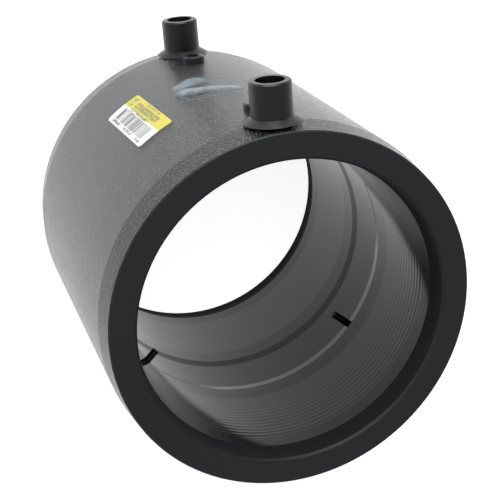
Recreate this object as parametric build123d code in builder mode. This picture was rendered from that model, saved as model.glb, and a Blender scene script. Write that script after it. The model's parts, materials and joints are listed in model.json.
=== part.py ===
from build123d import *
import os
from math import asin, cos, pi, radians, sin

# Electrofusion coupler for 140 mm polyethylene pipe, in millimetres. It stands on one open
# end: +Z is the bore axis, z = 0 is the bottom end face, and the two terminals point along +X.
# The lower half is the upper half turned half a turn about the line along X at mid height,
# so an "inset" below is measured inwards from either end face.

# Body shell
body_length = 180.0
body_r = 86.0
wall = 15.4  # from the barrel to the bore
taper_length = 14.6  # shallow cone at each end of the barrel
taper_drop = 1.6  # radius lost along that cone
edge_break = 0.6

# Socket, from an end face inwards
mouth_bevel = 1.0
lead_widening = 1.1  # lead-in, a little wider than the pipe
lead_length = 6.0
lead_cone = 5.2  # length of the cone from the lead-in to the bore
recess_inset = 72.5  # where the centre recess starts
recess_slope = 5.0
recess_depth = 0.8

# Winding: a sleeve flush with the bore, and the wire wound on it
pocket_inset = 19.4
pocket_length = 42.5
sleeve_wall = 1.3
wire_side = 0.9  # square wire
wire_clearance = 0.2
slot_clearance = 0.1
wind_pitch = 3.13
wind_margin = 0.5  # least room between the wire's turns and each end of the sleeve
turn_straights = 18  # straight lengths in one turn
joint_gap = 0.15  # between one wire's end and the next wire

# Terminals
terminal_inset = 14.2
shroud_reach = 18.2  # from the barrel to the rim of a shroud
shroud_r = 9.4
shroud_bore_r = 6.5
shroud_depth = 15.5
shroud_rim_bevel = 0.7
brim_r = 13.2
brim_height = 2.4  # at the foot of the shroud
brim_gap = 0.1  # over the barrel's top line
stem_r = 8.0  # plug below the brim, set in the barrel
stem_length = 4.0
stem_clearance = 0.1
pin_r = 2.35
pin_below_rim = 4.5
pin_bevel = 0.5
pin_root_r = 2.9  # from below the stem to just above the shroud's floor
pin_root_rise = 0.5
pin_root_below = 2.0  # below the stem
pin_clearance = 0.02

# Fusion indicators
indicator_inset = 37.3
boss_r = 5.6
boss_rise = 3.2
boss_bevel = 0.6
indicator_hole_r = 2.9
indicator_hole_depth = 9.0
indicator_clearance = 0.15
indicator_sink = 1.6  # head below the boss's rim

# Pipe stops
stop_r = 1.8
stop_rise = 6.2
stop_seat = 4.0
stop_bevel = 0.4
stop_clearance = 0.05
stop_above_mid = 6.5
stop_half_angle = 47.5  # to each side of the X axis

# Label and clear film on the barrel
label_length = 60.8
label_width = 19.5
label_corner = 2.0
label_thickness = 0.25
label_angle = 30.0
label_tilt = 2.5  # stuck on slightly askew
film_length = 47.0
film_width = 37.0
film_corner = 16.0
film_thickness = 0.2
film_angle = 3.5

# Worked out from the sizes above
mid = body_length / 2
bore_r = body_r - wall
lead_r = bore_r + lead_widening
recess_r = bore_r + recess_depth
sleeve_r = bore_r + sleeve_wall
straight_half_angle = pi / turn_straights
coil_r = (sleeve_r + wire_clearance + wire_side / 2) / cos(straight_half_angle)
pocket_r = coil_r + wire_side / 2 / cos(straight_half_angle) + wire_clearance
wind_turns = int((pocket_length - 2 * wind_margin) / wind_pitch)
coil_inset = pocket_inset + (pocket_length - wind_turns * wind_pitch) / 2
slot_side = wire_side + 2 * slot_clearance
brim_x = body_r + brim_gap
stem_x = brim_x - stem_length
seat_x = stem_x - pin_root_below - joint_gap  # floor of the terminal's socket in the barrel
shroud_rim_x = body_r + shroud_reach
floor_x = shroud_rim_x - shroud_depth
boss_x = body_r + boss_rise
half_turn = Axis((0, 0, mid), (1, 0, 0))


def at_inset(radius, inset):
    """Point of an XZ section that lies inset below the top end face."""
    return (radius, body_length - inset)


def radial_plane(distance, angle, height):
    """Plane square to the radius at this angle, with its local y axis along Z."""
    outward = (cos(radians(angle)), sin(radians(angle)), 0)
    across = (-sin(radians(angle)), cos(radians(angle)), 0)
    origin = (distance * outward[0], distance * outward[1], height)
    return Plane(origin=origin, x_dir=across, z_dir=outward)


def save(piece, label):
    """Label a finished piece and write it under that name."""
    piece.label = label
    export_step(piece, f"parts/{label}.step")


os.makedirs("parts", exist_ok=True)

# ---- coupler body: a turned section, with the terminals' sockets and the bosses ----------
with BuildPart() as body:
    with BuildSketch(Plane.XZ):
        with BuildLine():
            Polyline(
                (body_r, mid),
                at_inset(body_r, taper_length),
                at_inset(body_r - taper_drop, edge_break),
                at_inset(body_r - taper_drop - edge_break, 0),
                at_inset(lead_r + mouth_bevel, 0),
                at_inset(lead_r, mouth_bevel),
                at_inset(lead_r, lead_length),
                at_inset(bore_r, lead_length + lead_cone),
                at_inset(bore_r, pocket_inset),
                at_inset(pocket_r, pocket_inset),
                at_inset(pocket_r, pocket_inset + pocket_length),
                at_inset(bore_r, pocket_inset + pocket_length),
                at_inset(bore_r, recess_inset),
                at_inset(recess_r, recess_inset + recess_slope),
                (recess_r, mid),
                close=True,
            )
        make_face()
        mirror(about=Plane(origin=(0, mid, 0), x_dir=(1, 0, 0), z_dir=(0, 1, 0)))
    revolve(axis=Axis.Z)

    # Bosses of the fusion indicators, with a bevelled rim and a blind hole
    for height in (indicator_inset, body_length - indicator_inset):
        with BuildSketch(radial_plane(boss_x, 0, height)):
            Circle(boss_r)
        extrude(amount=-(boss_x - pocket_r - sleeve_wall))
    boss_rims = body.faces().filter_by(Axis.X).sort_by(Axis.X)[-2:].edges()
    chamfer(boss_rims, boss_bevel)
    for height in (indicator_inset, body_length - indicator_inset):
        with BuildSketch(radial_plane(boss_x, 0, height)):
            Circle(indicator_hole_r)
        extrude(amount=-indicator_hole_depth, mode=Mode.SUBTRACT)

    # Sockets of the terminals, and the slots that lead the wires to them
    for height in (terminal_inset, body_length - terminal_inset):
        with BuildSketch(radial_plane(seat_x, 0, height)):
            Circle(stem_r + stem_clearance)
        extrude(amount=brim_x - seat_x + brim_height, mode=Mode.SUBTRACT)
        with BuildSketch(radial_plane(seat_x, 0, height)):
            Rectangle(slot_side, slot_side)
        extrude(amount=-(seat_x - coil_r + slot_side / 2), mode=Mode.SUBTRACT)
    lead_slot = pocket_inset - terminal_inset + slot_side / 2
    for height in (pocket_inset - lead_slot / 2, body_length - pocket_inset + lead_slot / 2):
        with Locations((coil_r, 0, height)):
            Box(slot_side, slot_side, lead_slot, mode=Mode.SUBTRACT)
    bridge_slot = body_length - 2 * (pocket_inset + pocket_length)
    with Locations((coil_r, 0, mid)):
        Box(slot_side, slot_side, bridge_slot, mode=Mode.SUBTRACT)

    # Blind holes of the pipe stops
    stop_angles = [stop_half_angle, -stop_half_angle, 180 - stop_half_angle, stop_half_angle - 180]
    for angle in stop_angles:
        with BuildSketch(radial_plane(bore_r, angle, mid + stop_above_mid)):
            Circle(stop_r + stop_clearance)
        extrude(amount=recess_r + stop_seat - bore_r, mode=Mode.SUBTRACT)

save(body.part, "coupler_body")

# ---- winding: sleeve, coil and the wires that join them ----------------------------------
with BuildPart() as sleeve:
    with BuildSketch(Plane.XY.offset(body_length - pocket_inset - pocket_length)):
        Circle(sleeve_r)
        Circle(bore_r, mode=Mode.SUBTRACT)
    extrude(amount=pocket_length)

# The coil keeps clear of the wires that come to it at angle 0.
end_angle = asin((wire_side / 2 + joint_gap) / coil_r)
turn_angles = [step * 2 * straight_half_angle for step in range(1, wind_turns * turn_straights)]
coil_angles = [end_angle, *turn_angles, 2 * pi * wind_turns - end_angle]
coil_points = [
    (
        coil_r * cos(angle),
        coil_r * sin(angle),
        body_length - coil_inset - wind_pitch * angle / (2 * pi),
    )
    for angle in coil_angles
]
with BuildPart() as coil:
    with BuildLine() as route:
        Polyline(*coil_points)
    with BuildSketch(Plane(origin=route.line @ 0, x_dir=(0, 0, 1), z_dir=route.line % 0)):
        Rectangle(wire_side, wire_side)
    sweep(transition=Transition.RIGHT)

# From the coil's first turn along the wall, then out to the root of the terminal's pin
with BuildPart() as lead:
    with BuildLine() as route:
        Polyline(
            (coil_r, 0, body_length - coil_inset - wire_side / 2),
            (coil_r, 0, body_length - terminal_inset),
            (seat_x - joint_gap, 0, body_length - terminal_inset),
        )
    with BuildSketch(Plane(origin=route.line @ 0, x_dir=(0, 1, 0), z_dir=(0, 0, 1))):
        Rectangle(wire_side, wire_side)
    sweep(transition=Transition.RIGHT)

# From one coil's last turn to the other's
bridge_inset = coil_inset + wind_turns * wind_pitch - wire_side / 2
with BuildPart() as bridge:
    with BuildSketch(Plane.XY.offset(bridge_inset)):
        with Locations((coil_r, 0)):
            Rectangle(wire_side, wire_side)
    extrude(amount=body_length - 2 * bridge_inset)

save(bridge.part, "bridge_wire")

# ---- terminals ---------------------------------------------------------------------------
with BuildPart() as shroud:
    with BuildSketch(Plane.XZ):
        with BuildLine():
            Polyline(
                (floor_x, 0),
                (floor_x, shroud_bore_r),
                (shroud_rim_x, shroud_bore_r),
                (shroud_rim_x, shroud_r - shroud_rim_bevel),
                (shroud_rim_x - shroud_rim_bevel, shroud_r),
                (brim_x + brim_height, shroud_r),
                (brim_x, brim_r),
                (brim_x, stem_r),
                (stem_x, stem_r),
                (stem_x, 0),
                close=True,
            )
        make_face()
    revolve(axis=Axis.X)
    with BuildSketch(Plane.YZ.offset(stem_x)):
        Circle(pin_root_r + pin_clearance)
    extrude(amount=floor_x - stem_x, mode=Mode.SUBTRACT)

with BuildPart() as pin:
    with BuildSketch(Plane.YZ.offset(stem_x - pin_root_below)):
        Circle(pin_root_r)
    extrude(amount=floor_x + pin_root_rise - stem_x + pin_root_below)
    with BuildSketch(Plane.YZ.offset(floor_x + pin_root_rise)):
        Circle(pin_r)
    extrude(amount=shroud_rim_x - pin_below_rim - pin_root_rise - floor_x)
    chamfer(pin.faces().sort_by(Axis.X)[-1].edges(), pin_bevel)

# ---- fusion indicator --------------------------------------------------------------------
with BuildPart() as indicator:
    with BuildSketch(Plane.YZ.offset(boss_x - indicator_hole_depth + indicator_clearance)):
        Circle(indicator_hole_r - indicator_clearance)
    extrude(amount=indicator_hole_depth - indicator_clearance - indicator_sink)

# ---- pieces that both halves have --------------------------------------------------------
top_pieces = {
    "winding_sleeve": sleeve.part,
    "heating_coil": coil.part,
    "lead_wire": lead.part,
    "terminal_shroud": Location((0, 0, body_length - terminal_inset)) * shroud.part,
    "terminal_pin": Location((0, 0, body_length - terminal_inset)) * pin.part,
    "fusion_indicator": Location((0, 0, body_length - indicator_inset)) * indicator.part,
}
for name, piece in top_pieces.items():
    save(piece, f"{name}_top")
    save(piece.rotate(half_turn, 180), f"{name}_bottom")

# ---- pipe stops: pins that stand in from the recess --------------------------------------
for number, angle in enumerate(stop_angles, start=1):
    with BuildPart() as stop:
        with BuildSketch(radial_plane(recess_r - stop_rise, angle, mid + stop_above_mid)):
            Circle(stop_r)
        extrude(amount=stop_rise + stop_seat)
        tip = stop.faces().sort_by(lambda face: face.center().length)[0]
        chamfer(tip.edges(), stop_bevel)
    save(stop.part, f"pipe_stop_{number}")


# ---- label and clear film: thin patches bent round the barrel ----------------------------
def patch(length, width, corner, thickness, angle, tilt=0):
    """Rounded sheet of this length along Z, lying on the barrel at this angle, turned by its tilt."""
    with BuildPart() as sheet:
        with BuildSketch(radial_plane(0, angle, mid)):
            RectangleRounded(width, length, corner, rotation=tilt)
        extrude(amount=2 * body_r)
        Cylinder(body_r + thickness, 2 * body_length, mode=Mode.INTERSECT)
        Cylinder(body_r, 2 * body_length, mode=Mode.SUBTRACT)
    return sheet.part


label = patch(label_length, label_width, label_corner, label_thickness, label_angle, label_tilt)
save(label, "label")
film = patch(film_length, film_width, film_corner, film_thickness, film_angle)
save(film, "clear_film")
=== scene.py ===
"""Finishes, ridged winding, printed label and wrinkled film for the electrofusion coupler."""
import json
import math

import bmesh
import bpy
from bpy.props import FloatProperty, FloatVectorProperty, IntProperty, PointerProperty
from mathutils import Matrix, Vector, noise


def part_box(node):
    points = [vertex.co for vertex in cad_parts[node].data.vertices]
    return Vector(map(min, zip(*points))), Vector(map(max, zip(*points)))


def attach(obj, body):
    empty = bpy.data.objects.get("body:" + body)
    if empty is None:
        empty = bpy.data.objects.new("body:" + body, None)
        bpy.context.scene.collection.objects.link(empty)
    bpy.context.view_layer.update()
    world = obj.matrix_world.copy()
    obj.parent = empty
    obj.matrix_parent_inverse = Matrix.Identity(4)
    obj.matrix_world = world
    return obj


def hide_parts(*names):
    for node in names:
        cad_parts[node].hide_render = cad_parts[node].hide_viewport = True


bl_info = {
    "name": "Electrofusion Coupler",
    "version": (1, 0, 0),
    "blender": (4, 5, 0),
    "location": "3D View > Sidebar > Coupler",
    "description": "Finishes, ridged winding, label and film for the electrofusion coupler",
    "category": "Object",
}

MM = 0.001
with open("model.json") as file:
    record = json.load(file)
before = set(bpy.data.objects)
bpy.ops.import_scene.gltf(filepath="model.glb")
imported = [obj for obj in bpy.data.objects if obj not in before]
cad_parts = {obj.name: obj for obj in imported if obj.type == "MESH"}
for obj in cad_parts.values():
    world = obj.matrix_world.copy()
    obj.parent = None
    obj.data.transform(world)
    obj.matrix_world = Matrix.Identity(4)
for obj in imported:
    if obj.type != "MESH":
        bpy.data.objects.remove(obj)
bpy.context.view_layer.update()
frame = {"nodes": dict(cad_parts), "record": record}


def linear(hex_colour, alpha=1.0):
    """Scene-linear RGBA of an sRGB hex colour."""
    shares = [int(hex_colour[i:i + 2], 16) / 255 for i in (0, 2, 4)]
    return tuple(s / 12.92 if s <= 0.04045 else ((s + 0.055) / 1.055) ** 2.4
                 for s in shares) + (alpha,)


# ---- sizes read from the solids --------------------------------------------------------------
def middle(node):
    """Middle of a node's box."""
    low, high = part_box(node)
    return (low + high) / 2


BODY_LOW, BODY_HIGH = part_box("coupler_body")
BODY_LENGTH = BODY_HIGH.z - BODY_LOW.z
BODY_MID = (BODY_LOW.z + BODY_HIGH.z) / 2
BARREL_R = BODY_HIGH.y
SOCKET_R = next(mount["dims"]["r_mm"] for mount in frame["record"]["mounts"]
                if mount["name"] == "top_socket") * MM
LABEL_ANGLE = math.atan2(middle("label").y, middle("label").x)
LABEL_WIDTH = 19.5 * MM
MOUTH_DEPTH = 11.2 * MM  # from an end face to where the bore proper starts
OUTSIDE_R = 80 * MM  # surfaces further out than this belong to the barrel, nearer ones to the bore
PE_IOR = 1.51
TURNING_DEPTH = 0.02 * MM
ROUND_STEPS = 144
SHARP_EDGE = math.radians(40)

# The winding's ridges on the inner wall of a sleeve
RIDGE_MARGIN = 0.8 * MM  # plain strip at each end
RIDGE_RAMP = 1.5 * MM  # run over which they come up from it
RIDGE_SINK_START = 24 * MM  # inset at which those of the top sleeve begin to sink
RIDGE_SINK_RUN = 10 * MM
RIDGE_SINK_SHARE = 0.75
BOTTOM_RIDGE_SHARE = 0.12

# Corners of the torn film, in millimetres round and along the barrel from its middle
FILM_CORNERS = ((18.6, -5), (15, -16), (4, -23), (-4, -21), (-8, -15.5), (-15, -13), (-18, -4),
                (-16, 12), (-8, 21), (4, 19), (13, 15), (17, 6))
# Its lobes and its crease, each from where it starts to where it ends
FILM_REAR_LOBE = ((17.5, -8), (8, -12))
FILM_FRONT_LOBE = ((15, 1), (-9, 13))
FILM_CREASE = ((18.5, -4), (4, 3))
FILM_RINGS = 35
FILM_CLEARANCE = 0.04 * MM  # the gap between the flat film and the barrel

FLOOR_HALF = 15.0
FLOOR_DROP = 0.1 * MM  # keeps the floor just clear of the base ring
SOFT_BOXES = (  # name, place, size and the stage's property with the power
    ("key_softbox", (0.95, 0.05, 0.42), 0.7, "key_power"),
    ("fill_softbox", (0.3, 0.95, 0.5), 0.8, "fill_power"),
    ("front_softbox", (0.30, 0.05, 0.74), 0.35, "front_power"),
)
CAMERA_LENS, SENSOR_WIDTH = 90.32, 36.0  # mm
CAMERA_PLACE = (0.23413, 0.15725, 0.66139)
CAMERA_TURN = (-20.412, -17.678, -94.387)  # degrees


class CouplerColours(bpy.types.PropertyGroup):
    polyethylene: FloatVectorProperty(
        name="Polyethylene", description="Pipe-grade black polyethylene", subtype="COLOR",
        # Painted highlight: the paler colour of the grain tips stands in for their glints
        size=4, min=0, max=1, default=linear("08090a"))
    painted_glint: FloatVectorProperty(
        name="Painted glints", description="Paler grain tips painted in for the glints of the spark texture",
        subtype="COLOR", size=4, min=0, max=1, default=linear("484c50"))
    shroud: FloatVectorProperty(
        name="Shroud", description="Moulded black of the terminal shrouds", subtype="COLOR",
        size=4, min=0, max=1, default=linear("060607"))
    stop: FloatVectorProperty(
        name="Stops", description="Matt black of the pipe stops and indicators", subtype="COLOR",
        size=4, min=0, max=1, default=linear("040404"))
    brass: FloatVectorProperty(
        name="Brass", description="Turned brass of the contact pins", subtype="COLOR",
        size=4, min=0, max=1, default=linear("b59a5b"))
    wire: FloatVectorProperty(
        name="Wire", description="Bare resistance wire of the winding", subtype="COLOR",
        size=4, min=0, max=1, default=linear("b5744a"))
    paper: FloatVectorProperty(
        name="Label white", description="White field of the label", subtype="COLOR",
        size=4, min=0, max=1, default=linear("c6c8c6"))
    yellow: FloatVectorProperty(
        name="Label yellow", description="Yellow field of the label", subtype="COLOR",
        size=4, min=0, max=1, default=linear("b0a820"))
    ink: FloatVectorProperty(
        name="Ink", description="Print on the label", subtype="COLOR",
        size=4, min=0, max=1, default=linear("2c2d33"))
    # Painted glare: this pale colour on the lifted lobes stands in for the light the film reflects
    # there
    film: FloatVectorProperty(
        name="Film", description="Clear plastic film where it stands off the barrel",
        subtype="COLOR", size=4, min=0, max=1, default=linear("86959d"))


class CouplerSizes(bpy.types.PropertyGroup):
    pebble: FloatProperty(
        name="Pebble", description="Spacing of the barrel's spark texture", subtype="DISTANCE",
        unit="LENGTH", default=0.95 * MM)
    pebble_depth: FloatProperty(
        name="Pebble depth", description="Depth of the barrel's spark texture", subtype="DISTANCE",
        unit="LENGTH", default=0.27 * MM)
    ridge_pitch: FloatProperty(
        name="Ridge pitch", description="Spacing of the winding's ridges", subtype="DISTANCE",
        unit="LENGTH", default=3.13 * MM)
    ridge_rise: FloatProperty(
        name="Ridge rise", description="Height of the winding's ridges", subtype="DISTANCE",
        unit="LENGTH", default=0.05 * MM)
    ridge_rows: IntProperty(
        name="Rows per ridge", description="Mesh rows across one ridge", min=4, default=8)
    label_tilt: FloatProperty(
        name="Label tilt", description="How far askew the label is stuck on", subtype="ANGLE",
        unit="ROTATION", default=math.radians(2.5))
    label_split: FloatProperty(
        name="Label split", description="Width of the label's yellow field", subtype="DISTANCE",
        unit="LENGTH", default=7.9 * MM)
    bar: FloatProperty(
        name="Bar", description="Width of the label's thinnest bar", subtype="DISTANCE",
        unit="LENGTH", default=0.42 * MM)
    film_lift: FloatProperty(
        name="Film lift", description="How far the film's two lobes stand off the barrel",
        subtype="DISTANCE", unit="LENGTH", default=1.6 * MM)


class CouplerStage(bpy.types.PropertyGroup):
    floor_colour: FloatVectorProperty(
        name="Floor", description="Plain pale floor", subtype="COLOR",
        size=4, min=0, max=1, default=linear("ececec"))
    floor_glow: FloatProperty(
        name="Floor glow", description="What the floor adds to its lit white where it is seen",
        min=0, default=0.87)
    horizon: FloatProperty(
        name="Horizon", description="Level of the light from the sides", min=0, default=0.36)
    zenith: FloatProperty(
        name="Zenith", description="Level of the light from overhead", min=0, default=0.04)
    key_power: FloatProperty(
        name="Key", description="Power of the soft box on the terminals' side", subtype="POWER",
        unit="POWER", default=12.0)
    front_power: FloatProperty(
        name="Front", description="Power of the soft box that lights the bore", subtype="POWER",
        unit="POWER", default=1.3)
    fill_power: FloatProperty(
        name="Fill", description="Power of the soft box on the label's side", subtype="POWER",
        unit="POWER", default=1.8)


# ---- materials -------------------------------------------------------------------------------
def add_node(tree, kind, settings=None, links=None):
    """Add a node, give its properties and inputs their settings and join its inputs to outputs."""
    node = tree.nodes.new(kind)
    for key, value in (settings or {}).items():
        if isinstance(key, int) or key in node.inputs:
            node.inputs[key].default_value = value
        else:
            setattr(node, key, value)
    for key, output in (links or {}).items():
        tree.links.new(output, node.inputs[key])
    return node


def new_material(name, settings):
    """Material with one Principled shader, and that shader."""
    material = bpy.data.materials.new(name)
    material.use_nodes = True
    material.node_tree.nodes.clear()
    shader = add_node(material.node_tree, "ShaderNodeBsdfPrincipled", settings)
    add_node(material.node_tree, "ShaderNodeOutputMaterial", None,
             {"Surface": shader.outputs["BSDF"]})
    return material, shader


def dress(node, material):
    """Give a CAD node or a new piece its one material."""
    piece = frame["nodes"].get(node) if isinstance(node, str) else node
    piece.data.materials.clear()
    piece.data.materials.append(material)
    return piece


def section_coordinates(tree):
    """Outputs for the distance from the bore axis and for the height, in metres."""
    coordinates = add_node(tree, "ShaderNodeTexCoord")
    flat = add_node(tree, "ShaderNodeVectorMath", {"operation": "MULTIPLY", 1: (1, 1, 0)},
                    {0: coordinates.outputs["Object"]})
    radius = add_node(tree, "ShaderNodeVectorMath", {"operation": "LENGTH"},
                      {0: flat.outputs["Vector"]})
    split = add_node(tree, "ShaderNodeSeparateXYZ", None, {0: coordinates.outputs["Object"]})
    return coordinates.outputs["Object"], radius.outputs["Value"], split.outputs["Z"]


def between(tree, value, low, high):
    """1 where a value lies between two limits, and 0 elsewhere."""
    above = add_node(tree, "ShaderNodeMath", {"operation": "GREATER_THAN", 1: low}, {0: value})
    below = add_node(tree, "ShaderNodeMath", {"operation": "LESS_THAN", 1: high}, {0: value})
    return add_node(tree, "ShaderNodeMath", {"operation": "MULTIPLY"},
                    {0: above.outputs[0], 1: below.outputs[0]}).outputs[0]


def all_of(tree, *masks):
    """Product of several masks."""
    product = masks[0]
    for mask in masks[1:]:
        product = add_node(tree, "ShaderNodeMath", {"operation": "MULTIPLY"},
                           {0: product, 1: mask}).outputs[0]
    return product


def any_of(tree, *masks):
    """Greatest of several masks."""
    greatest = masks[0]
    for mask in masks[1:]:
        greatest = add_node(tree, "ShaderNodeMath", {"operation": "MAXIMUM"},
                            {0: greatest, 1: mask}).outputs[0]
    return greatest


def polyethylene_material(colours, sizes):
    """Black PE100, injection moulded: spark-textured outside, turned on the faces and in the bore.

    The spark texture breaks the light into fine grains, and the turned faces show faint rings."""
    material, shader = new_material("PE100_black_spark_textured", {
        "IOR": PE_IOR, "Specular IOR Level": 0.26, "Specular Tint": (0.86, 0.94, 1.0, 1.0)})
    tree = material.node_tree
    place, radius, height = section_coordinates(tree)
    normal = add_node(tree, "ShaderNodeNewGeometry")
    split = add_node(tree, "ShaderNodeSeparateXYZ", None, {0: normal.outputs["Normal"]})
    upright = add_node(tree, "ShaderNodeMath", {"operation": "ABSOLUTE"}, {0: split.outputs["Z"]})
    is_side = add_node(tree, "ShaderNodeMath", {"operation": "LESS_THAN", 1: 0.5},
                       {0: upright.outputs[0]})
    is_outside = add_node(tree, "ShaderNodeMath", {"operation": "GREATER_THAN", 1: OUTSIDE_R},
                          {0: radius})
    is_barrel = add_node(tree, "ShaderNodeMath", {"operation": "MULTIPLY"},
                         {0: is_side.outputs[0], 1: is_outside.outputs[0]})

    # Spark texture: close-set grains with flat tops
    grains = add_node(tree, "ShaderNodeTexVoronoi", {"Scale": 1 / sizes.pebble}, {"Vector": place})
    valley = add_node(tree, "ShaderNodeMapRange",
                      {"interpolation_type": "SMOOTHSTEP", "From Min": 0.3, "From Max": 0.75},
                      {"Value": grains.outputs["Distance"]})
    spark_height = add_node(tree, "ShaderNodeMath", {"operation": "MULTIPLY"},
                            {0: valley.outputs[0], 1: is_barrel.outputs[0]})
    spark_bump = add_node(tree, "ShaderNodeBump",
                          {"Strength": 1.0, "Distance": sizes.pebble_depth, "invert": True},
                          {"Height": spark_height.outputs[0]})
    # Painted glints: paler tips on some grains, standing in for the light that the grains catch
    tip = add_node(tree, "ShaderNodeMapRange", {"From Min": 0.6, "From Max": 0.35},
                   {"Value": grains.outputs["Distance"]})
    luck = add_node(tree, "ShaderNodeSeparateColor", None, {0: grains.outputs["Color"]})
    some = add_node(tree, "ShaderNodeMapRange", {"From Min": 0.45, "From Max": 1.0},
                    {"Value": luck.outputs["Red"]})
    # Painted glints on the barrel's grain tips
    painted_glint = all_of(tree, tip.outputs[0], some.outputs[0], is_barrel.outputs[0])
    colour = add_node(tree, "ShaderNodeMix",
                      {"data_type": "RGBA", 6: colours.polyethylene, 7: colours.painted_glint},
                      {0: painted_glint})
    tree.links.new(colour.outputs[2], shader.inputs["Base Color"])

    # Turning marks: rings on the end faces and round the bore, drawn coarse enough to show
    along = add_node(tree, "ShaderNodeMix", {"data_type": "FLOAT"},
                     {0: is_side.outputs[0], 2: radius, 3: height})
    rings = add_node(tree, "ShaderNodeCombineXYZ", None, {0: along.outputs[0]})
    turned = add_node(tree, "ShaderNodeTexNoise",
                      {"Scale": 1 / (1.1 * MM), "Detail": 2.0, "Roughness": 0.6},
                      {"Vector": rings.outputs[0]})
    turned_bump = add_node(tree, "ShaderNodeBump", {"Strength": 0.2, "Distance": TURNING_DEPTH},
                           {"Height": turned.outputs["Fac"], "Normal": spark_bump.outputs[0]})
    tree.links.new(turned_bump.outputs[0], shader.inputs["Normal"])

    # Roughness: the bore is the smoothest, then the grains, then the end faces and the mouths
    middle_height = add_node(tree, "ShaderNodeMath", {"operation": "SUBTRACT", 1: BODY_MID},
                             {0: height})
    from_middle = add_node(tree, "ShaderNodeMath", {"operation": "ABSOLUTE"},
                           {0: middle_height.outputs[0]})
    mouth = add_node(tree, "ShaderNodeMath",
                     {"operation": "GREATER_THAN", 1: BODY_LENGTH / 2 - MOUTH_DEPTH},
                     {0: from_middle.outputs[0]})
    bore_roughness = add_node(tree, "ShaderNodeMapRange", {"To Min": 0.12, "To Max": 0.95},
                              {"Value": mouth.outputs[0]})
    side_roughness = add_node(tree, "ShaderNodeMapRange", {"To Max": 0.2},
                              {"Value": is_outside.outputs[0], "To Min": bore_roughness.outputs[0]})
    face_roughness = add_node(tree, "ShaderNodeMapRange", {"To Min": 0.5},
                              {"Value": is_side.outputs[0], "To Max": side_roughness.outputs[0]})
    tree.links.new(face_roughness.outputs[0], shader.inputs["Roughness"])
    return material


def winding_material(colours):
    """The same PE, smoothed by the mandrel it was wound on: a soft sheen along each ridge."""
    material, shader = new_material("PE_black_mandrel_smooth", {
        "Base Color": colours.polyethylene, "Roughness": 0.14, "IOR": PE_IOR,
        "Specular IOR Level": 0.36})
    tree = material.node_tree
    height = section_coordinates(tree)[2]
    rings = add_node(tree, "ShaderNodeCombineXYZ", None, {0: height})
    turned = add_node(tree, "ShaderNodeTexNoise",
                      {"Scale": 1 / (0.8 * MM), "Detail": 2.0, "Roughness": 0.6},
                      {"Vector": rings.outputs[0]})
    bump = add_node(tree, "ShaderNodeBump", {"Strength": 0.2, "Distance": TURNING_DEPTH},
                    {"Height": turned.outputs["Fac"]})
    tree.links.new(bump.outputs[0], shader.inputs["Normal"])
    return material


def moulded_material(name, colour, roughness, grain):
    """Moulded black plastic with a faint grain that softens its highlights."""
    material, shader = new_material(name, {
        "Base Color": colour, "Roughness": roughness, "IOR": 1.5, "Specular IOR Level": 0.25})
    tree = material.node_tree
    coordinates = add_node(tree, "ShaderNodeTexCoord")
    grains = add_node(tree, "ShaderNodeTexNoise", {"Scale": 1 / grain, "Detail": 2.0},
                      {"Vector": coordinates.outputs["Object"]})
    bump = add_node(tree, "ShaderNodeBump", {"Strength": 0.3, "Distance": 0.04 * MM},
                    {"Height": grains.outputs["Fac"]})
    tree.links.new(bump.outputs[0], shader.inputs["Normal"])
    return material


def metal_material(name, colour, roughness, stretch):
    """Bare metal with marks left by turning or drawing, finer across than along."""
    material, shader = new_material(name, {"Base Color": colour, "Metallic": 1.0})
    tree = material.node_tree
    coordinates = add_node(tree, "ShaderNodeTexCoord")
    mapped = add_node(tree, "ShaderNodeMapping", {"Scale": stretch},
                      {0: coordinates.outputs["Object"]})
    marks = add_node(tree, "ShaderNodeTexNoise", {"Scale": 1.0, "Detail": 3.0},
                     {"Vector": mapped.outputs[0]})
    spread = add_node(tree, "ShaderNodeMapRange",
                      {"To Min": roughness - 0.08, "To Max": roughness + 0.08},
                      {"Value": marks.outputs["Fac"]})
    tree.links.new(spread.outputs[0], shader.inputs["Roughness"])
    return material


def chance(tree, across, along, cell, share):
    """1 in a seeded share of cells, which are boxes of this size across and along."""
    steps = []
    for value, size in zip((across, along), cell):
        scaled = add_node(tree, "ShaderNodeMath", {"operation": "DIVIDE", 1: size}, {0: value})
        steps.append(add_node(tree, "ShaderNodeMath", {"operation": "FLOOR"},
                              {0: scaled.outputs[0]}))
    place = add_node(tree, "ShaderNodeCombineXYZ", None,
                     {0: steps[0].outputs[0], 1: steps[1].outputs[0]})
    drawn = add_node(tree, "ShaderNodeTexWhiteNoise", {"noise_dimensions": "2D"},
                     {"Vector": place.outputs[0]})
    return add_node(tree, "ShaderNodeMath", {"operation": "LESS_THAN", 1: share},
                    {0: drawn.outputs["Value"]}).outputs[0]


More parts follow.
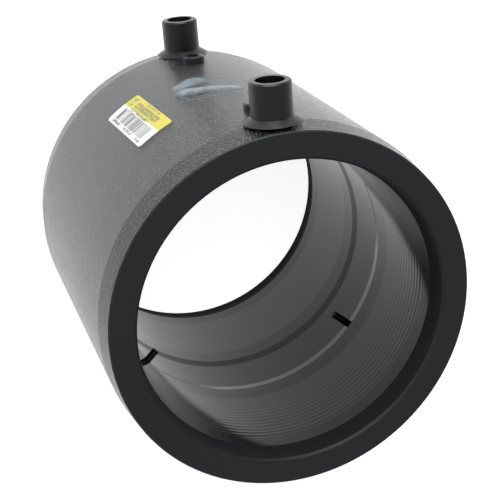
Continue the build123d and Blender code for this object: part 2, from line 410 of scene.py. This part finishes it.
def label_material(colours, sizes):
    """Coated self-adhesive label stock, printed: smooth, with a slight gloss.

    The print is only fields, bars and dashes: no letters and no numbers."""
    material, shader = new_material("label_stock_printed", {"Roughness": 0.4, "IOR": 1.45})
    tree = material.node_tree
    coordinates = add_node(tree, "ShaderNodeTexCoord")
    split = add_node(tree, "ShaderNodeSeparateXYZ", None, {0: coordinates.outputs["Object"]})
    turn = add_node(tree, "ShaderNodeMath", {"operation": "ARCTAN2"},
                    {0: split.outputs["Y"], 1: split.outputs["X"]})
    arc = add_node(tree, "ShaderNodeMath", {"operation": "MULTIPLY", 1: BARREL_R},
                   {0: turn.outputs[0]})
    flat = add_node(tree, "ShaderNodeCombineXYZ", None, {0: arc.outputs[0], 1: split.outputs["Z"]})
    centred = add_node(tree, "ShaderNodeVectorMath",
                       {"operation": "SUBTRACT", 1: (BARREL_R * LABEL_ANGLE, BODY_MID, 0)},
                       {0: flat.outputs[0]})
    straight = add_node(tree, "ShaderNodeMapping", {"Rotation": (0, 0, -sizes.label_tilt)},
                        {0: centred.outputs[0]})
    along_across = add_node(tree, "ShaderNodeSeparateXYZ", None, {0: straight.outputs[0]})
    across, along = along_across.outputs["X"], along_across.outputs["Y"]
    # Where the yellow ends, from the label's middle, in millimetres as the fields below are
    seam = (sizes.label_split - LABEL_WIDTH / 2) / MM

    def field(across_limits, *along_limits):
        """1 in a strip between two limits across, on each of its runs along."""
        runs = [between(tree, along, low * MM, high * MM) for low, high in along_limits]
        low, high = across_limits
        return all_of(tree, any_of(tree, *runs), between(tree, across, low * MM, high * MM))

    yellow = between(tree, across, -LABEL_WIDTH, seam * MM)
    bars = all_of(tree, chance(tree, across, along, (1.0, sizes.bar), 0.64),
                  field((seam + 1.1, 6.6), (-24, 23)))
    # Dashes in the place of lines of print
    row = chance(tree, across, along, (0.8 * MM, 1.3 * MM), 0.6)
    outer_row = all_of(tree, row, field((7.0, 8.6), (-25, -12), (-4, 9), (17, 25)))
    seam_row = all_of(tree, row, field((seam - 0.9, seam + 0.7), (-18, 12)))
    lines = chance(tree, across, along, (0.62 * MM, 5 * MM), 0.62)
    block = all_of(tree, any_of(tree, lines, row), field((seam - 5.4, seam - 1.6), (-19, 18)))
    heading = all_of(tree, chance(tree, across, along, (1.1 * MM, 1.6 * MM), 0.5),
                     field((seam - 6.6, seam - 0.6), (-28, -22)))
    rim_row = all_of(tree, row, field((seam - 7.4, seam - 6.2), (-10, 14)))
    dark = any_of(tree, bars, outer_row, seam_row)
    olive = any_of(tree, block, heading, rim_row)

    ground = add_node(tree, "ShaderNodeMix",
                      {"data_type": "RGBA", 6: colours.paper, 7: colours.yellow}, {0: yellow})
    weight = add_node(tree, "ShaderNodeMath", {"operation": "MULTIPLY_ADD", 1: 0.62}, {0: olive})
    strong = add_node(tree, "ShaderNodeMath", {"operation": "MULTIPLY", 1: 0.86}, {0: dark})
    tree.links.new(strong.outputs[0], weight.inputs[2])
    printed = add_node(tree, "ShaderNodeMix", {"data_type": "RGBA", 7: colours.ink},
                       {0: weight.outputs[0], 6: ground.outputs[2]})
    tree.links.new(printed.outputs[2], shader.inputs["Base Color"])
    creases = add_node(tree, "ShaderNodeTexNoise", {"Scale": 1 / (6 * MM), "Detail": 2.0},
                       {"Vector": coordinates.outputs["Object"]})
    bump = add_node(tree, "ShaderNodeBump", {"Strength": 0.25, "Distance": 0.15 * MM},
                    {"Height": creases.outputs["Fac"]})
    tree.links.new(bump.outputs[0], shader.inputs["Normal"])
    return material


def film_material(colour):
    """Clear polyester film: nearly invisible where it lies flat, and pale where it stands off,
    which is painted glare; its torn edge and its crease carry a painted dark shadow.
    """
    material, shader = new_material("polyester_film_clear", {"Roughness": 0.34, "IOR": 1.5})
    tree = material.node_tree
    lift = add_node(tree, "ShaderNodeAttribute", {"attribute_name": "lift"})
    rim = add_node(tree, "ShaderNodeAttribute", {"attribute_name": "rim"})
    coordinates = add_node(tree, "ShaderNodeTexCoord")
    ripples = add_node(tree, "ShaderNodeTexNoise", {"Scale": 1 / (4 * MM), "Detail": 3.0},
                       {"Vector": coordinates.outputs["Object"]})
    bump = add_node(tree, "ShaderNodeBump", {"Strength": 0.3, "Distance": 0.4 * MM},
                    {"Height": ripples.outputs["Fac"]})
    tree.links.new(bump.outputs[0], shader.inputs["Normal"])
    # Painted glare: the lifted lobes turn pale and mottled in place of the light they reflect
    mottled = add_node(tree, "ShaderNodeMapRange",
                       {"From Min": 0.3, "From Max": 0.7, "To Min": 0.55},
                       {"Value": ripples.outputs["Fac"]})
    painted_glare = add_node(tree, "ShaderNodeMath", {"operation": "MULTIPLY"},
                    {0: lift.outputs["Fac"], 1: mottled.outputs[0]})
    glare_alpha = add_node(tree, "ShaderNodeMath", {"operation": "MULTIPLY_ADD", 1: 0.7, 2: 0.05},
                    {0: painted_glare.outputs[0]})
    # Painted shadow: the dark rim along the edge and the crease is made nearly opaque
    edge = add_node(tree, "ShaderNodeMath", {"operation": "MULTIPLY", 1: 0.95},
                    {0: rim.outputs["Fac"]})
    cover = add_node(tree, "ShaderNodeMath", {"operation": "MAXIMUM"},
                     {0: glare_alpha.outputs[0], 1: edge.outputs[0]})
    tree.links.new(cover.outputs[0], shader.inputs["Alpha"])
    # Painted shadow: near black along the torn edge and the crease
    shade = add_node(tree, "ShaderNodeMix",
                     {"data_type": "RGBA", 6: colour, 7: (0.004, 0.005, 0.006, 1)},
                     {0: rim.outputs["Fac"]})
    tree.links.new(shade.outputs[2], shader.inputs["Base Color"])
    return material


# ---- shapes ----------------------------------------------------------------------------------
def piece_from(bm, name, body="root"):
    """Turn a finished bmesh into a piece that rides on the body."""
    bmesh.ops.recalc_face_normals(bm, faces=bm.faces)
    mesh = bpy.data.meshes.new(name)
    bm.to_mesh(mesh)
    bm.free()
    mesh.shade_smooth()
    mesh.set_sharp_from_angle(angle=SHARP_EDGE)
    piece = bpy.data.objects.new(name, mesh)
    bpy.context.scene.collection.objects.link(piece)
    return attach(piece, body)


def bend_round(vertices, radius, angle, height):
    """Bend flat vertices, x across, y along the axis and z proud, round a barrel at this angle."""
    for vertex in vertices:
        across, along, proud = vertex.co
        turn = angle + across / radius
        vertex.co = ((radius + proud) * math.cos(turn), (radius + proud) * math.sin(turn),
                     height + along)


def ridged_sleeve(name, low, high, inner, outer, sizes, from_top):
    """Closed ring whose inner wall carries the winding's helical ridges."""
    rows = round((high - low) / sizes.ridge_pitch * sizes.ridge_rows)
    bm = bmesh.new()
    section = [bm.verts.new((inner, 0, low + (high - low) * row / rows))
               for row in range(rows + 1)]
    section += [bm.verts.new((outer, 0, high)), bm.verts.new((outer, 0, low))]
    edges = [bm.edges.new((section[i - 1], section[i])) for i in range(len(section))]
    bmesh.ops.spin(bm, geom=section + edges, cent=(0, 0, 0), axis=(0, 0, 1), angle=2 * math.pi,
                   steps=ROUND_STEPS, use_merge=True)
    bmesh.ops.remove_doubles(bm, verts=bm.verts, dist=0.001 * MM)
    middle_r = (inner + outer) / 2
    for vertex in bm.verts:
        radius = Vector(vertex.co.xy).length
        if radius > middle_r:
            continue
        inset = high - vertex.co.z
        edge = min(vertex.co.z - low, high - vertex.co.z)
        fade = min(1.0, max(0.0, (edge - RIDGE_MARGIN) / RIDGE_RAMP))
        sunk = min(1.0, max(0.0, (inset - RIDGE_SINK_START) / RIDGE_SINK_RUN))
        fade *= (1 - RIDGE_SINK_SHARE * sunk) if from_top else BOTTOM_RIDGE_SHARE
        angle = math.atan2(vertex.co.y, vertex.co.x)
        turns = vertex.co.z / sizes.ridge_pitch + angle / (2 * math.pi)
        rise = sizes.ridge_rise * fade * (0.5 + 0.5 * math.cos(2 * math.pi * turns)) ** 2
        vertex.co.xy *= (radius - rise) / radius
    return piece_from(bm, name)


def from_line(point, line):
    """Distance of a point from a line given in millimetres, and its share of the way along it."""
    start, end = (Vector(place) * MM for place in line)
    run = end - start
    share = min(1.0, max(0.0, (point - start).dot(run) / run.length_squared))
    return (point - start - run * share).length, share


def film_rim(turn):
    """Distance of the torn film's edge from its middle, at this angle."""
    corners = [Vector(place) * MM for place in FILM_CORNERS]
    heading = Vector((math.cos(turn), math.sin(turn)))
    reach = [max(0.0, corner.normalized().dot(heading)) ** 40 for corner in corners]
    return sum(r * corner.length for r, corner in zip(reach, corners)) / sum(reach)


def film_heights(place):
    """How far the film stands off at a place, and how near it is to its crease, from 0 to 1."""
    rear, rear_share = from_line(place, FILM_REAR_LOBE)
    front, front_share = from_line(place, FILM_FRONT_LOBE)
    crease = from_line(place, FILM_CREASE)[0]
    rear_lobe = max(0.0, 1.0 - (rear / ((3 + 6 * rear_share) * MM)) ** 4)
    rear_lobe *= 1 - 0.2 * rear_share
    front_lobe = max(0.0, 1.0 - (front / ((5.5 - 2.5 * front_share) * MM)) ** 4)
    front_lobe *= 1 - 0.4 * front_share
    return max(rear_lobe, front_lobe), max(0.0, 1 - crease / (0.6 * MM))


def wrinkled_film(sizes):
    """Torn roundish piece of film, flat but for two lifted lobes with a crease between them."""
    centre_angle = math.atan2(middle("clear_film").y, middle("clear_film").x)
    bm = bmesh.new()
    bmesh.ops.create_circle(bm, segments=ROUND_STEPS, radius=1.0)
    ring = bm.edges[:]
    for share in range(FILM_RINGS - 1, 0, -1):
        made = bmesh.ops.extrude_edge_only(bm, edges=ring)["geom"]
        ring = [edge for edge in made if isinstance(edge, bmesh.types.BMEdge)]
        for vertex in {vertex for edge in ring for vertex in edge.verts}:
            vertex.co.normalize()
            vertex.co *= share / FILM_RINGS
    bmesh.ops.contextual_create(bm, geom=ring)
    lift = bm.verts.layers.float.new("lift")
    rim = bm.verts.layers.float.new("rim")
    for vertex in bm.verts:
        out = vertex.co.length
        reach = film_rim(math.atan2(vertex.co.y, vertex.co.x))
        place = vertex.co.xy * reach
        raised, crease = film_heights(place)
        raised *= 1 - out ** 12
        vertex[lift] = raised * (1 - crease)
        # Painted shadow: darkens the film along its torn edge and along the crease between the
        # lifted lobes
        near_rim = max(0.0, 1 - (1 - out) * reach / (0.7 * MM))
        vertex[rim] = max(crease * raised, 0.8 * near_rim)
        ripple = 0.12 * noise.noise(Vector((place.x, place.y, 0)) / (5 * MM)) * raised
        proud = sizes.film_lift * (raised + ripple) * (1 - 0.7 * crease)
        vertex.co = (place.x, place.y, FILM_CLEARANCE + proud)
    bend_round(bm.verts, BARREL_R, centre_angle, BODY_MID)
    return piece_from(bm, "clear_film_wrinkled")


class COUPLER_OT_body(bpy.types.Operator):
    """Dress the moulded body, the stops and the indicators"""
    bl_idname = "coupler.body"
    bl_label = "Body"

    def execute(self, context):
        colours, sizes = context.scene.coupler_colours, context.scene.coupler_sizes
        dress("coupler_body", polyethylene_material(colours, sizes))
        matt = moulded_material("PE_black_matt_moulded", colours.stop, 0.5, 0.8 * MM)
        for number in range(1, 5):
            dress(f"pipe_stop_{number}", matt)
        for end in ("top", "bottom"):
            dress(f"fusion_indicator_{end}", matt)
        return {"FINISHED"}


class COUPLER_OT_winding(bpy.types.Operator):
    """Build the ridged sleeves and dress the winding's wires"""
    bl_idname = "coupler.winding"
    bl_label = "Winding"

    def execute(self, context):
        colours, sizes = context.scene.coupler_colours, context.scene.coupler_sizes
        smooth = winding_material(colours)
        wire = metal_material("resistance_wire_drawn", colours.wire, 0.35, (900.0, 900.0, 900.0))
        for end in ("top", "bottom"):
            low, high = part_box(f"winding_sleeve_{end}")
            sleeve = ridged_sleeve(f"winding_sleeve_{end}_ridged", low.z, high.z, SOCKET_R, high.y,
                                   sizes, end == "top")
            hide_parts(f"winding_sleeve_{end}")
            dress(sleeve, smooth)
            dress(f"heating_coil_{end}", wire)
            dress(f"lead_wire_{end}", wire)
        dress("bridge_wire", wire)
        return {"FINISHED"}


class COUPLER_OT_terminals(bpy.types.Operator):
    """Dress the terminal shrouds and their pins"""
    bl_idname = "coupler.terminals"
    bl_label = "Terminals"

    def execute(self, context):
        colours = context.scene.coupler_colours
        satin = moulded_material("PE_black_satin_moulded", colours.shroud, 0.33, 0.6 * MM)
        brass = metal_material("brass_turned", colours.brass, 0.28, (2500.0, 60.0, 60.0))
        for end in ("top", "bottom"):
            dress(f"terminal_shroud_{end}", satin)
            dress(f"terminal_pin_{end}", brass)
        return {"FINISHED"}


class COUPLER_OT_label(bpy.types.Operator):
    """Dress the label with its printed fields, bars and dashes"""
    bl_idname = "coupler.label"
    bl_label = "Label"

    def execute(self, context):
        colours, sizes = context.scene.coupler_colours, context.scene.coupler_sizes
        dress("label", label_material(colours, sizes))
        return {"FINISHED"}


class COUPLER_OT_film(bpy.types.Operator):
    """Lay the wrinkled clear film on the barrel"""
    bl_idname = "coupler.film"
    bl_label = "Film"

    def execute(self, context):
        colours, sizes = context.scene.coupler_colours, context.scene.coupler_sizes
        film = wrinkled_film(sizes)
        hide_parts("clear_film")
        dress(film, film_material(colours.film))
        return {"FINISHED"}


def soft_box(name, place, aim, size, power):
    """Square area lamp at a place, facing a point."""
    lamp = bpy.data.lights.new(name, "AREA")
    lamp.shape = "SQUARE"
    lamp.size = size
    lamp.energy = power
    holder = bpy.data.objects.new(name, lamp)
    holder.location = place
    holder.rotation_euler = (Vector(aim) - Vector(place)).to_track_quat("-Z", "Y").to_euler()
    bpy.context.scene.collection.objects.link(holder)
    return holder


def seen_directly(tree, path):
    """1 for the camera and for what metal and glass show, and 0 for the light on surfaces."""
    return any_of(tree, *(path.outputs[ray] for ray in
                          ("Is Camera Ray", "Is Glossy Ray", "Is Transmission Ray")))


def surroundings(tree, stage):
    """Plain soft light: palest at the horizon and dark overhead, before a white background."""
    direction = add_node(tree, "ShaderNodeTexCoord").outputs["Generated"]
    split = add_node(tree, "ShaderNodeSeparateXYZ", None, {0: direction})
    level = add_node(tree, "ShaderNodeMapRange",
                     {"From Min": 0.15, "From Max": 0.8,
                      "To Min": stage.horizon, "To Max": stage.zenith},
                     {"Value": split.outputs["Z"]})
    path = add_node(tree, "ShaderNodeLightPath")
    return add_node(tree, "ShaderNodeMix", {"data_type": "RGBA", 7: (1, 1, 1, 1)},
                    {0: seen_directly(tree, path), 6: level.outputs[0]}).outputs[2]


class COUPLER_OT_stage(bpy.types.Operator):
    """Set the floor, the light and the camera"""
    bl_idname = "coupler.stage"
    bl_label = "Stage"

    def execute(self, context):
        scene, stage = context.scene, context.scene.coupler_stage
        bm = bmesh.new()
        bmesh.ops.create_grid(bm, x_segments=1, y_segments=1, size=FLOOR_HALF)
        bmesh.ops.translate(bm, verts=bm.verts, vec=(0, 0, -FLOOR_DROP))
        floor_mesh = bpy.data.meshes.new("floor")
        bm.to_mesh(floor_mesh)
        bm.free()
        floor = bpy.data.objects.new("floor", floor_mesh)
        scene.collection.objects.link(floor)
        material, shader = new_material("floor_matt_white", {
            "Base Color": stage.floor_colour, "Roughness": 0.9})
        tree = material.node_tree
        path = add_node(tree, "ShaderNodeLightPath")
        lift = add_node(tree, "ShaderNodeMath", {"operation": "MULTIPLY", 1: stage.floor_glow},
                        {0: seen_directly(tree, path)})
        glow = add_node(tree, "ShaderNodeEmission", {"Color": (1, 1, 1, 1)},
                        {"Strength": lift.outputs[0]})
        both = add_node(tree, "ShaderNodeAddShader", None,
                        {0: shader.outputs[0], 1: glow.outputs[0]})
        tree.links.new(both.outputs[0], tree.nodes["Material Output"].inputs["Surface"])
        floor_mesh.materials.append(material)

        world = bpy.data.worlds.new("studio")
        scene.world = world
        world.use_nodes = True
        world_tree = world.node_tree
        world_tree.nodes.clear()
        sky = add_node(world_tree, "ShaderNodeBackground", None,
                       {"Color": surroundings(world_tree, stage)})
        add_node(world_tree, "ShaderNodeOutputWorld", None, {"Surface": sky.outputs[0]})

        for name, place, size, power in SOFT_BOXES:
            soft_box(name, place, (0, 0, BODY_MID), size, getattr(stage, power))

        camera = bpy.data.cameras.new("camera")
        camera.lens = CAMERA_LENS
        camera.sensor_width = SENSOR_WIDTH
        holder = bpy.data.objects.new("camera", camera)
        holder.location = CAMERA_PLACE
        holder.rotation_euler = [math.radians(angle) for angle in CAMERA_TURN]
        scene.collection.objects.link(holder)
        scene.camera = holder
        scene.view_settings.view_transform = "Standard"
        return {"FINISHED"}


class COUPLER_PT_panel(bpy.types.Panel):
    """Sizes, colours and steps of the coupler"""
    bl_label = "Coupler"
    bl_space_type = "VIEW_3D"
    bl_region_type = "UI"
    bl_category = "Coupler"

    def draw(self, context):
        for step in STEPS:
            self.layout.operator(step.bl_idname)
        scene = context.scene
        for group in (scene.coupler_colours, scene.coupler_sizes, scene.coupler_stage):
            for name in group.__annotations__:
                self.layout.prop(group, name)


STEPS = (COUPLER_OT_body, COUPLER_OT_winding, COUPLER_OT_terminals, COUPLER_OT_label,
         COUPLER_OT_film, COUPLER_OT_stage)
CLASSES = (CouplerColours, CouplerSizes, CouplerStage, *STEPS, COUPLER_PT_panel)


def register():
    for cls in CLASSES:
        bpy.utils.register_class(cls)
    bpy.types.Scene.coupler_colours = PointerProperty(type=CouplerColours)
    bpy.types.Scene.coupler_sizes = PointerProperty(type=CouplerSizes)
    bpy.types.Scene.coupler_stage = PointerProperty(type=CouplerStage)


def unregister():
    del bpy.types.Scene.coupler_stage
    del bpy.types.Scene.coupler_sizes
    del bpy.types.Scene.coupler_colours
    for cls in reversed(CLASSES):
        bpy.utils.unregister_class(cls)


def main():
    """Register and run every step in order."""
    register()
    for step in STEPS:
        group, name = step.bl_idname.split(".")
        getattr(getattr(bpy.ops, group), name)()


if __name__ == "__main__":
    main()
